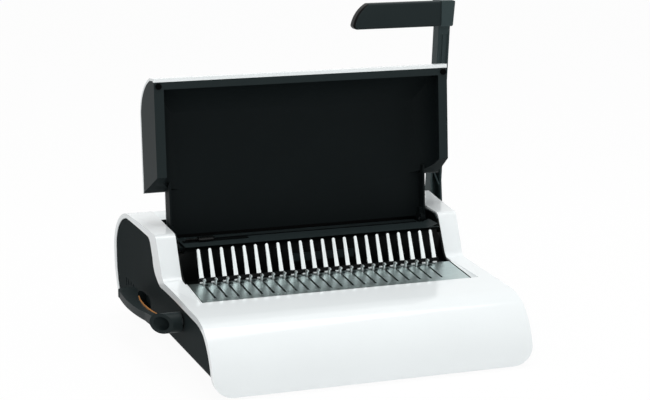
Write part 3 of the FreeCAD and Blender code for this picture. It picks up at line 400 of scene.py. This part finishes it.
def within(place, x=NO_LIMITS, y=NO_LIMITS, z=NO_LIMITS):
    """Whether a place in mm lies between limits, with x counted from the middle to either side."""
    return x[0] < abs(place.x) < x[1] and y[0] < place.y < y[1] and z[0] < place.z < z[1]


def widen_deck_corners(shape):
    """Draw the deck's front corners away from the tray, so that the lips beside it slope gently."""
    for vert in shape.verts:
        if within(vert.co / MM, **DECK_CORNER):
            vert.co.x = math.copysign(WIDE_CORNER_X * MM, vert.co.x)


def pull_bay_deck_ends(shape):
    """Draw the ends of the bay's deck and ramp back to the sloping front edge of the cheeks."""
    for vert in shape.verts:
        place = vert.co / MM
        edge_y = CHEEK_FOOT_Y + (place.z - CHEEK_FOOT_Z) * CHEEK_LEAN
        if within(place, **BAY_DECK_END) and place.y < edge_y:
            vert.co.y = edge_y * MM


def painted_shade_in_lid_recess(place, facing):
    """Inside the recess of the lid's lining, which leans back; the recess takes painted shade."""
    arm = place - joint_place("lid_hinge")
    depth = arm.y * math.cos(LID_LEAN) - arm.z * math.sin(LID_LEAN)
    return abs(place.x) < RECESS_HALF_WIDTH and RECESS_FRONT < depth < RECESS_BACK


def painted_shade_under_lid_flange(place, facing):
    """Lower ends of the lid's side flanges, which face the pale floor: painted shade, the darker panel
    finish keeps them dark.
    """
    downwards = facing.z < -0.2
    return downwards and within(place, **LID_FLANGE_END)


def painted_shade_at_lid_notch(place, facing):
    """Edges of the white shell round the notches beside the lid's neck, which take charcoal as painted
    shade.
    """
    edge = facing.z < -0.4 or abs(facing.x) > 0.6
    return edge and within(place, **LID_NOTCH)


def painted_shade_on_grip_end(place, facing):
    """The grip's rounded left end, which turns away from the light: painted shade in black."""
    leftwards = facing.x < -0.3
    return leftwards


def painted_shade_in_hinge_gap(place, facing):
    """The rear cover's front edge, painted black as the shade under the raised lid."""
    forwards = facing.y < -0.3
    return forwards and within(place, **HINGE_GAP)


def painted_light_on_bay_top_and_ribs(place, facing):
    """The flat top of the comb bay, and the ribs and pad that stand out from its wall: painted light,
    lighter charcoal on the lit faces of the black moulding.
    """
    upwards = facing.z > 0.8
    forwards = facing.y < -0.5
    return (upwards and within(place, **BAY_TOP)) or (forwards and within(place, **BAY_RIBS))


def painted_shade_facing_tray(place, facing):
    """A lip's inner side, painted black as the shade in the gap."""
    sideways = abs(facing.x) > 0.9
    return sideways and place.x * facing.x < 0


class BINDER_OT_finishes(bpy.types.Operator):
    """Give every frame node its material"""
    bl_idname = "binder.finishes"
    bl_label = "Finishes"

    def execute(self, context):
        materials.update(make_materials(context.scene.binder_colours))
        for finish, nodes in FINISHES.items():
            for name in nodes:
                mesh = frame["nodes"][name].data
                mesh.materials.clear()
                mesh.materials.append(materials[finish])
        return {"FINISHED"}


class BINDER_OT_mouldings(bpy.types.Operator):
    """Round the edges of the cover, lid, handle, levers, panels and comb bay"""
    bl_idname = "binder.mouldings"
    bl_label = "Rounded mouldings"

    def execute(self, context):
        sizes = context.scene.binder_sizes
        rounded_copy("main_cover", "white", sizes.cover_round, segments=4, trim=widen_deck_corners)
        rounded_copy("rear_cover", "white", sizes.lid_round)
        rounded_copy("lid_shell", "white", sizes.lid_round)
        for node in ("document_support", "comb_lever_arm", "lever_grip"):
            rounded_copy(node, "charcoal", sizes.small_round)
        rounded_copy("lever_arm", "slate", sizes.small_round)
        for node in ("left_side_panel", "right_side_panel", "base_pan"):
            rounded_copy(node, "panel", sizes.small_round)
        rounded_copy("grip_end_block", "slate", sizes.wall_round, segments=2)
        rounded_copy("comb_wall", "black", sizes.wall_round, segments=2, trim=pull_bay_deck_ends)
        # Painted shade: a darker charcoal in the lining's recess
        second_finish("document_support_rounded", "lining", painted_shade_in_lid_recess)
        # Painted shade: the darker panel finish under the lid's flange ends
        second_finish("document_support_rounded", "panel", painted_shade_under_lid_flange)
        # Painted shade: charcoal on the white shell's edges round the lid's notches
        second_finish("lid_shell_rounded", "charcoal", painted_shade_at_lid_notch)
        # Painted shade: black on the grip's end, which turns away from the light
        second_finish("lever_grip_rounded", "black", painted_shade_on_grip_end)
        # Painted shade: black on the rear cover's front edge under the raised lid
        second_finish("rear_cover_rounded", "black", painted_shade_in_hinge_gap)
        # Painted light: lighter charcoal on the comb bay's top and ribs
        second_finish("comb_wall_rounded", "charcoal", painted_light_on_bay_top_and_ribs)
        return {"FINISHED"}


class BINDER_OT_tray_lips(bpy.types.Operator):
    """White lips of the cover, which narrow the gaps beside the tray"""
    bl_idname = "binder.tray_lips"
    bl_label = "Tray lips"

    def execute(self, context):
        sizes = context.scene.binder_sizes
        low, high = (Vector(corner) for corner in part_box("tray_plate"))
        shape = bmesh.new()
        for side in (-1, 1):
            for vert in bmesh.ops.create_cube(shape, size=1.0)["verts"]:
                outer, rear, upper = (value > 0 for value in vert.co)
                x = high.x + sizes.lip_gap + sizes.lip_wide * outer
                y = high.y if rear else low.y
                tray_top = high.z if rear else low.z + sizes.tray_sheet
                deck_top = sizes.deck_height + y * sizes.deck_drop / sizes.deck_run
                if not upper:
                    z = tray_top - sizes.lip_thick
                elif outer:
                    z = deck_top - sizes.lip_sink
                else:
                    z = tray_top + sizes.lip_rise
                vert.co = (side * x, y, z)
        bmesh.ops.recalc_face_normals(shape, faces=shape.faces)
        lengthwise = [edge for edge in shape.edges if edge.calc_length() > 2 * sizes.lip_wide]
        bmesh.ops.subdivide_edges(shape, edges=lengthwise, cuts=LIP_STEPS, use_grid_fill=True)
        sharp = [edge for edge in shape.edges if edge.calc_face_angle(0) > SHARP_ANGLE]
        bmesh.ops.bevel(shape, geom=sharp, offset=sizes.lip_round, affect="EDGES",
                        segments=2, profile=0.5, material=-1)
        lips = piece_from(shape, "tray_lips", "white", "base")
        # Painted shade: black on the lips' inner sides, in the gap beside the tray
        second_finish("tray_lips", "black", painted_shade_facing_tray)
        return {"FINISHED"}


def seen_rays(tree):
    """1 for camera, glossy and transmission rays, which see the white studio."""
    path = add_node(tree, "ShaderNodeLightPath")
    mirrored = add_node(tree, "ShaderNodeMath",
                        [(0, path, "Is Camera Ray"), (1, path, "Is Glossy Ray")],
                        operation="MAXIMUM")
    return add_node(tree, "ShaderNodeMath",
                    [(0, mirrored, "Value"), (1, path, "Is Transmission Ray")],
                    operation="MAXIMUM")


class BINDER_OT_stage(bpy.types.Operator):
    """Floor, studio light and the camera"""
    bl_idname = "binder.stage"
    bl_label = "Stage"

    def execute(self, context):
        self.lay_floor(context.scene.binder_colours.floor)
        self.light_world(context.scene)
        self.hang_softboxes()
        self.place_camera(context.scene)
        context.scene.view_settings.view_transform = "Standard"
        return {"FINISHED"}

    def lay_floor(self, colour):
        """A pale floor that is seen almost as plain white and still takes the shadow."""
        material, tree, shader, _ = surface("pale_studio_floor")
        shader.inputs["Base Color"].default_value = colour
        shader.inputs["Roughness"].default_value = FLOOR_ROUGHNESS
        share = add_node(tree, "ShaderNodeMath", [(0, seen_rays(tree), "Value")],
                         [(1, FLOOR_SEEN_SHARE)], operation="MULTIPLY")
        glow = add_node(tree, "ShaderNodeEmission", inputs=[("Strength", 1.0)])
        mixed = add_node(tree, "ShaderNodeMixShader", [
            ("Fac", share, "Value"), (1, shader, "BSDF"), (2, glow, "Emission")])
        tree.links.new(mixed.outputs["Shader"], tree.nodes["Material Output"].inputs["Surface"])
        shape = bmesh.new()
        bmesh.ops.create_grid(shape, x_segments=2, y_segments=2, size=FLOOR_HALF)
        mesh = bpy.data.meshes.new("studio_floor")
        shape.to_mesh(mesh)
        shape.free()
        mesh.materials.append(material)
        link_object("studio_floor", mesh)

    def light_world(self, scene):
        """Soft light from all round, seen as plain white."""
        world = bpy.data.worlds.new("studio")
        scene.world = world
        world.use_nodes = True
        tree = world.node_tree
        tree.nodes.clear()
        soft, white = (add_node(tree, "ShaderNodeBackground",
                                inputs=[("Color", WHITE), ("Strength", strength)])
                       for strength in (WORLD_SOFT, WORLD_SEEN))
        mixed = add_node(tree, "ShaderNodeMixShader", [
            ("Fac", seen_rays(tree), "Value"), (1, soft, "Background"), (2, white, "Background")])
        add_node(tree, "ShaderNodeOutputWorld", [("Surface", mixed, "Shader")])

    def hang_softboxes(self):
        for name, box in SOFTBOXES.items():
            light = bpy.data.lights.new(name, "AREA")
            light.shape = "RECTANGLE"
            light.size = box["width"]
            light.size_y = box["height"]
            light.energy = box["power"]
            lamp = link_object(name, light)
            lamp.location = box["place"]
            beam = LAMP_TARGET - Vector(box["place"])
            lamp.rotation_euler = beam.to_track_quat("-Z", "Y").to_euler()

    def place_camera(self, scene):
        lens = bpy.data.cameras.new("photo_camera")
        lens.sensor_fit = "HORIZONTAL"
        lens.sensor_width = CAMERA_SENSOR
        lens.lens = CAMERA_LENS
        lens.clip_start = CAMERA_NEAR
        camera = link_object("photo_camera", lens)
        forward = Vector(CAMERA_FORWARD).normalized()
        right = forward.cross(Vector((0, 0, 1))).normalized()
        turn = Matrix((right, right.cross(forward), -forward)).transposed().to_4x4()
        camera.matrix_world = Matrix.Translation(CAMERA_PLACE) @ turn
        scene.camera = camera


PIECES = (BINDER_OT_finishes, BINDER_OT_mouldings, BINDER_OT_tray_lips, BINDER_OT_stage)


class BINDER_PT_panel(bpy.types.Panel):
    """Buttons for the pieces of the machine"""
    bl_idname = "BINDER_PT_panel"
    bl_label = "Comb binder"
    bl_space_type = "VIEW_3D"
    bl_region_type = "UI"
    bl_category = "Comb binder"

    def draw(self, context):
        for piece in PIECES:
            self.layout.operator(piece.bl_idname)


CLASSES = (BinderColours, BinderSizes) + PIECES + (BINDER_PT_panel,)


def register():
    for kind in CLASSES:
        bpy.utils.register_class(kind)
    bpy.types.Scene.binder_colours = PointerProperty(type=BinderColours)
    bpy.types.Scene.binder_sizes = PointerProperty(type=BinderSizes)


def unregister():
    del bpy.types.Scene.binder_sizes
    del bpy.types.Scene.binder_colours
    for kind in reversed(CLASSES):
        bpy.utils.unregister_class(kind)


def main():
    register()
    for piece in PIECES:
        group, name = piece.bl_idname.split(".")
        getattr(getattr(bpy.ops, group), name)()


if __name__ == "__main__":
    main()
